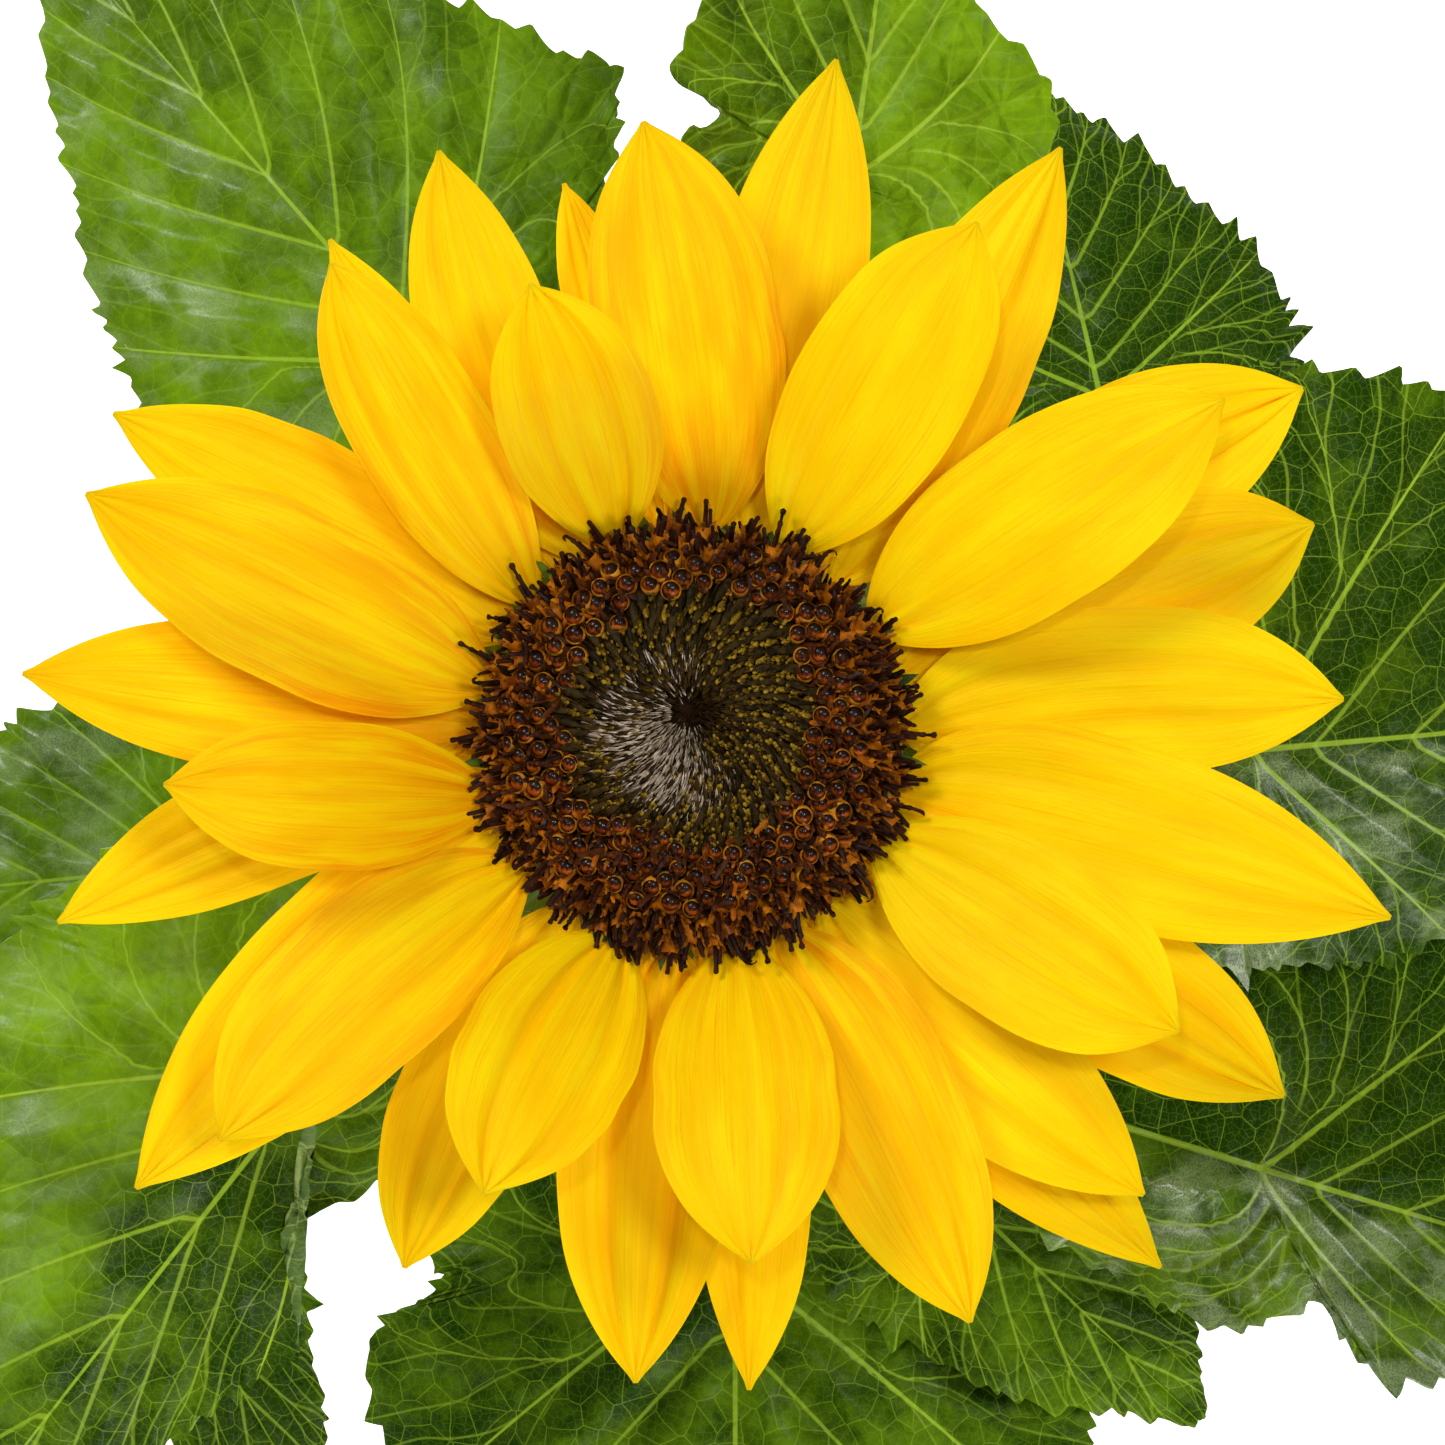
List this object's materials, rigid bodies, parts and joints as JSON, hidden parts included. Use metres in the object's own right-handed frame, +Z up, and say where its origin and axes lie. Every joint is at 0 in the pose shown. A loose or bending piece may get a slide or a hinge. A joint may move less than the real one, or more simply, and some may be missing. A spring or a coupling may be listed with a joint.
{
  "type": "sunflower plant",
  "caption": "Rooted dwarf sunflower: upright stem, broad toothed leaves on long stalks, and a flower head of overlapping yellow rays round a domed brown disc, facing straight up.",
  "frame": {"origin": "middle of the flat cut under the stem, at ground level", "axes": "+Z up along the stem; +X to the picture's right and +Y to its top, as the flower is seen from straight above"},
  "size_m": [0.2683, 0.2856, 0.3585],
  "materials": {
    "stem": "soft, finely hairy, green",
    "leaf": "half-gloss leaf with paler veins",
    "bract": "soft green bract",
    "petal": "smooth bright yellow ray floret with fine lengthwise veins",
    "disc": "dark brown tubular florets"
  },
  "bodies": {
    "root": {"stem": "stem", "petiole_01": "stem", "leaf_01": "leaf", "petiole_02": "stem", "leaf_02": "leaf", "petiole_03": "stem", "leaf_03": "leaf", "petiole_04": "stem", "leaf_04": "leaf", "petiole_05": "stem", "leaf_05": "leaf", "petiole_06": "stem", "leaf_06": "leaf", "petiole_07": "stem", "leaf_07": "leaf", "petiole_08": "stem", "leaf_08": "leaf", "petiole_09": "stem", "leaf_09": "leaf", "petiole_10": "stem", "leaf_10": "leaf", "petiole_11": "stem", "leaf_11": "leaf", "receptacle": "bract", "disc": "disc", "petal_01": "petal", "petal_02": "petal", "petal_03": "petal", "petal_04": "petal", "petal_05": "petal", "petal_06": "petal", "petal_07": "petal", "petal_08": "petal", "petal_09": "petal", "petal_10": "petal", "petal_11": "petal", "petal_12": "petal", "petal_13": "petal", "petal_14": "petal", "petal_15": "petal", "petal_16": "petal", "petal_17": "petal", "petal_18": "petal", "petal_19": "petal", "petal_20": "petal", "petal_21": "petal", "petal_22": "petal", "petal_23": "petal", "petal_24": "petal", "petal_25": "petal", "petal_26": "petal", "petal_27": "petal", "petal_28": "petal", "petal_29": "petal", "petal_30": "petal", "petal_31": "petal"}
  },
  "joints": []
}
